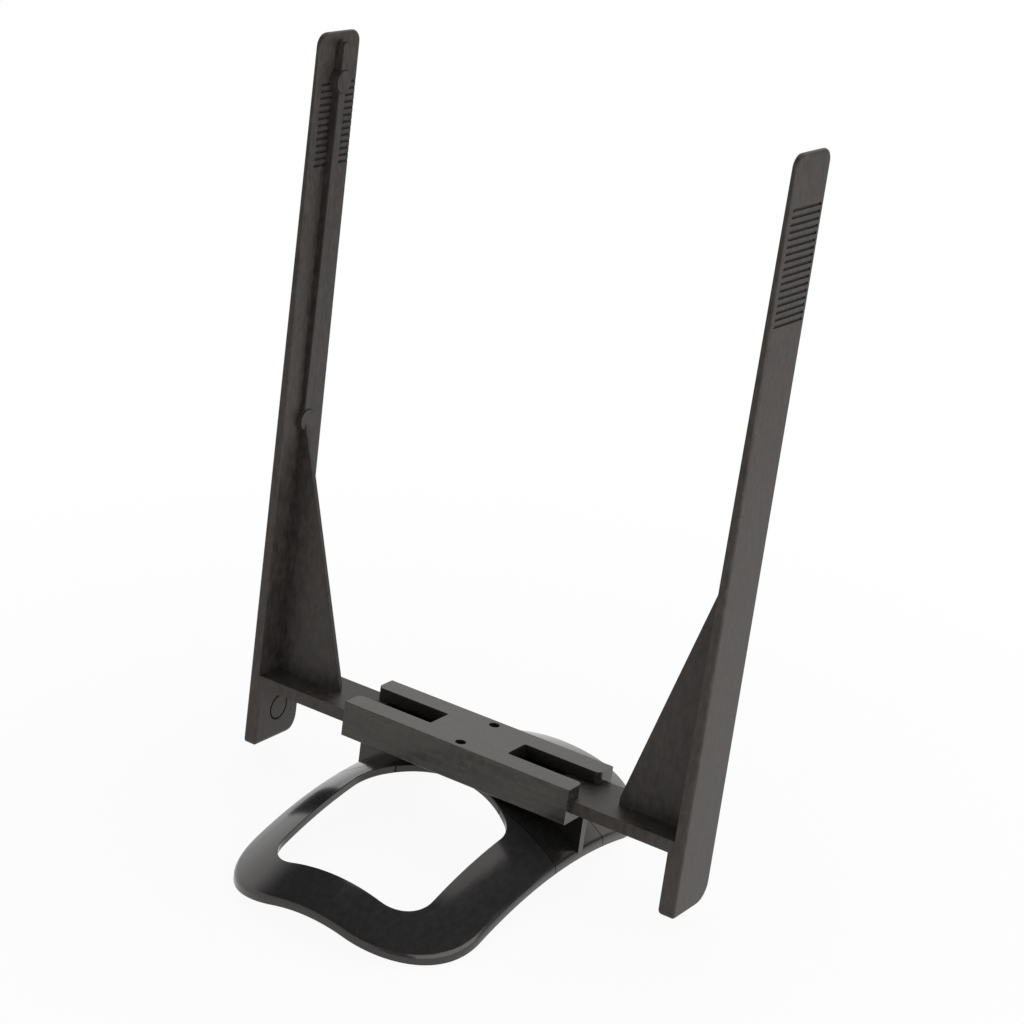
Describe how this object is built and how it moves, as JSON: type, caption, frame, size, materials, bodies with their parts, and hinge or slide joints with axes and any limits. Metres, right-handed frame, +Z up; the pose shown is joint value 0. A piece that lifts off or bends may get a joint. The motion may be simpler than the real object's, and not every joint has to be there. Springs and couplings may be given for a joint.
{
  "type": "adjustable-width display stand",
  "caption": "Black plastic display stand: an arched open foot carries a slotted rail, and two tall posts, leaning back 5 degrees, slide in and out on arms to hold a bag upright.",
  "frame": {"origin": "on the floor, under the middle of the whole stand", "axes": "+X along the rail towards the right arm, +Y from the front loop to the rear loop, +Z up"},
  "size_m": [0.211, 0.1774, 0.3055],
  "materials": {
    "black_plastic": "satin moulded"
  },
  "bodies": {
    "stand": {"centre_block": "black_plastic", "front_loop": "black_plastic", "rear_loop": "black_plastic"},
    "left_slider": {"left_arm": "black_plastic"},
    "right_slider": {"right_arm": "black_plastic"}
  },
  "joints": [
    {"name": "left_arm_slide", "type": "slide", "parent": "stand", "child": "left_slider", "axis": [-1, 0, 0], "range_m": [-0.0441, 0.003]},
    {"name": "right_arm_slide", "type": "slide", "parent": "stand", "child": "right_slider", "axis": [1, 0, 0], "range_m": [-0.0441, 0.003]}
  ]
}
